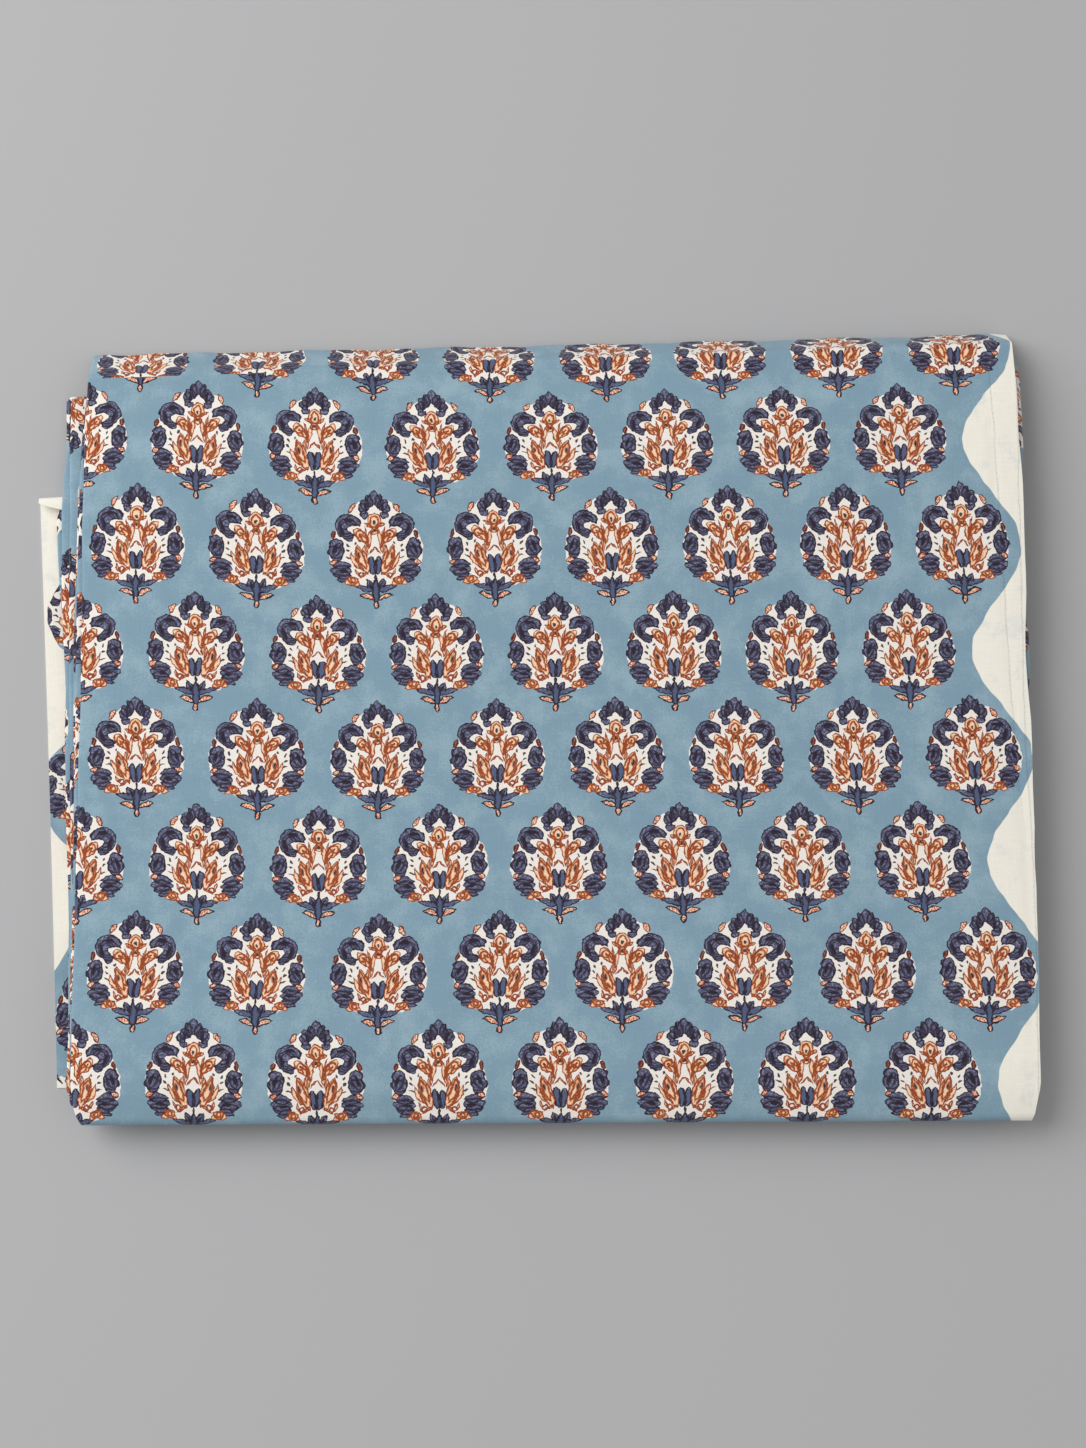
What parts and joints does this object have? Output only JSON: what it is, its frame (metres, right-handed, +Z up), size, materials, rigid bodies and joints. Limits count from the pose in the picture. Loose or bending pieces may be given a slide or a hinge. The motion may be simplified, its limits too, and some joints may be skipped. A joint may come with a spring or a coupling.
{
  "type": "folded block print cotton fabric",
  "caption": "Length of light printed cotton cloth, folded in three lengthwise and then back and forth into a flat soft pile that rests on a surface.",
  "frame": {"origin": "middle of the pile's box in X and Y, at the height of the surface that it rests on", "axes": "+X to the right along the pile's long side, towards the cream selvedge; +Y to the side with the hanging end; +Z up"},
  "size_m": [0.387, 0.313, 0.0193],
  "materials": {
    "printed_cotton": "matt plain-weave cotton, washed blue ground with small navy, rust and white flower motifs and undyed cream selvedges"
  },
  "bodies": {
    "root": {"cloth": "printed_cotton"}
  },
  "joints": []
}
